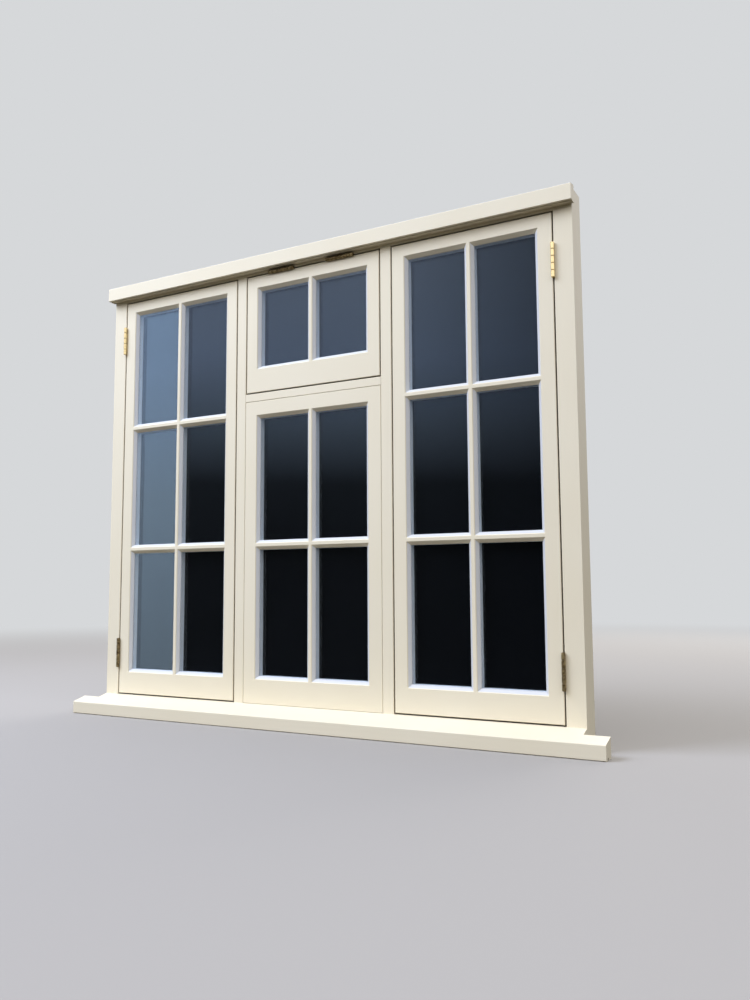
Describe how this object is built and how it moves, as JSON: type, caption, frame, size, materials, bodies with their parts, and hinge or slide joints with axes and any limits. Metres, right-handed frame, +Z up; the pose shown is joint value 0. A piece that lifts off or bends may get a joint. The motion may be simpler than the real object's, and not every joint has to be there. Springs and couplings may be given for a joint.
{
  "type": "casement window",
  "caption": "Painted timber flush casement window: two side-hung casements beside a top-hung vent over a fixed sash, double glazed with bars, on a weathered sill under a drip board.",
  "frame": {"origin": "middle of the sill's underside, in the plane of the frame's outside face", "axes": "+X to the right seen from outside, +Y from the outside face into the room, +Z up"},
  "size_m": [1.37, 0.1321, 1.1345],
  "materials": {
    "painted_timber": "satin microporous cream paint over planed timber",
    "glass": "clear float glass, dark against the unlit room",
    "spacer": "pale matt spacer bar between the panes",
    "brass": "polished brass, dulled outdoors",
    "seal": "soft cream weather strip"
  },
  "bodies": {
    "frame": {"sill": "painted_timber", "head": "painted_timber", "left_jamb": "painted_timber", "right_jamb": "painted_timber", "left_mullion": "painted_timber", "right_mullion": "painted_timber", "transom": "painted_timber", "drip_board": "painted_timber", "weather_seals": "seal", "fixed_sash_left_stile": "painted_timber", "fixed_sash_right_stile": "painted_timber", "fixed_sash_bottom_rail": "painted_timber", "fixed_sash_top_rail": "painted_timber", "fixed_sash_glass": "glass", "fixed_sash_spacer": "spacer", "fixed_sash_bars": "painted_timber", "fixed_sash_beads": "painted_timber", "hinge_frame_leaves": "brass", "hinge_pins": "brass", "fastener_strikers": "brass", "stay_pegs": "brass"},
    "left_casement": {"left_casement_left_stile": "painted_timber", "left_casement_right_stile": "painted_timber", "left_casement_bottom_rail": "painted_timber", "left_casement_top_rail": "painted_timber", "left_casement_glass": "glass", "left_casement_spacer": "spacer", "left_casement_bars": "painted_timber", "left_casement_beads": "painted_timber", "left_casement_hinge_leaves": "brass", "left_fastener_plate": "brass", "left_stay_bracket": "brass"},
    "right_casement": {"right_casement_left_stile": "painted_timber", "right_casement_right_stile": "painted_timber", "right_casement_bottom_rail": "painted_timber", "right_casement_top_rail": "painted_timber", "right_casement_glass": "glass", "right_casement_spacer": "spacer", "right_casement_bars": "painted_timber", "right_casement_beads": "painted_timber", "right_casement_hinge_leaves": "brass", "right_fastener_plate": "brass", "right_stay_bracket": "brass"},
    "vent": {"vent_left_stile": "painted_timber", "vent_right_stile": "painted_timber", "vent_bottom_rail": "painted_timber", "vent_top_rail": "painted_timber", "vent_glass": "glass", "vent_spacer": "spacer", "vent_bars": "painted_timber", "vent_beads": "painted_timber", "vent_hinge_leaves": "brass", "vent_stay_bracket": "brass"},
    "left_handle": {"left_fastener_handle": "brass"},
    "right_handle": {"right_fastener_handle": "brass"},
    "left_stay": {"left_stay_arm": "brass"},
    "right_stay": {"right_stay_arm": "brass"},
    "vent_stay": {"vent_stay_arm": "brass"}
  },
  "joints": [
    {"name": "left_casement_swing", "type": "hinge", "parent": "frame", "child": "left_casement", "pos_m": [-0.5925, -0.0045, 0.569], "axis": [0, 0, -1], "range_deg": [0, 90]},
    {"name": "right_casement_swing", "type": "hinge", "parent": "frame", "child": "right_casement", "pos_m": [0.5925, -0.0045, 0.569], "axis": [0, 0, 1], "range_deg": [0, 90]},
    {"name": "vent_swing", "type": "hinge", "parent": "frame", "child": "vent", "pos_m": [0, -0.0045, 1.0895], "axis": [-1, 0, 0], "range_deg": [0, 45]},
    {"name": "left_handle_turn", "type": "hinge", "parent": "left_casement", "child": "left_handle", "pos_m": [-0.239, 0.0646, 0.48], "axis": [0, -1, 0], "range_deg": [0, 90]},
    {"name": "right_handle_turn", "type": "hinge", "parent": "right_casement", "child": "right_handle", "pos_m": [0.239, 0.0646, 0.48], "axis": [0, 1, 0], "range_deg": [0, 90]},
    {"name": "left_stay_swing", "type": "hinge", "parent": "left_casement", "child": "left_stay", "pos_m": [-0.519, 0.053, 0.076], "axis": [0, 0, 1], "range_deg": [0, 90]},
    {"name": "right_stay_swing", "type": "hinge", "parent": "right_casement", "child": "right_stay", "pos_m": [0.519, 0.053, 0.076], "axis": [0, 0, -1], "range_deg": [0, 90]},
    {"name": "vent_stay_swing", "type": "hinge", "parent": "vent", "child": "vent_stay", "pos_m": [0, 0.053, 0.821], "axis": [0, 0, -1], "range_deg": [0, 90]}
  ]
}
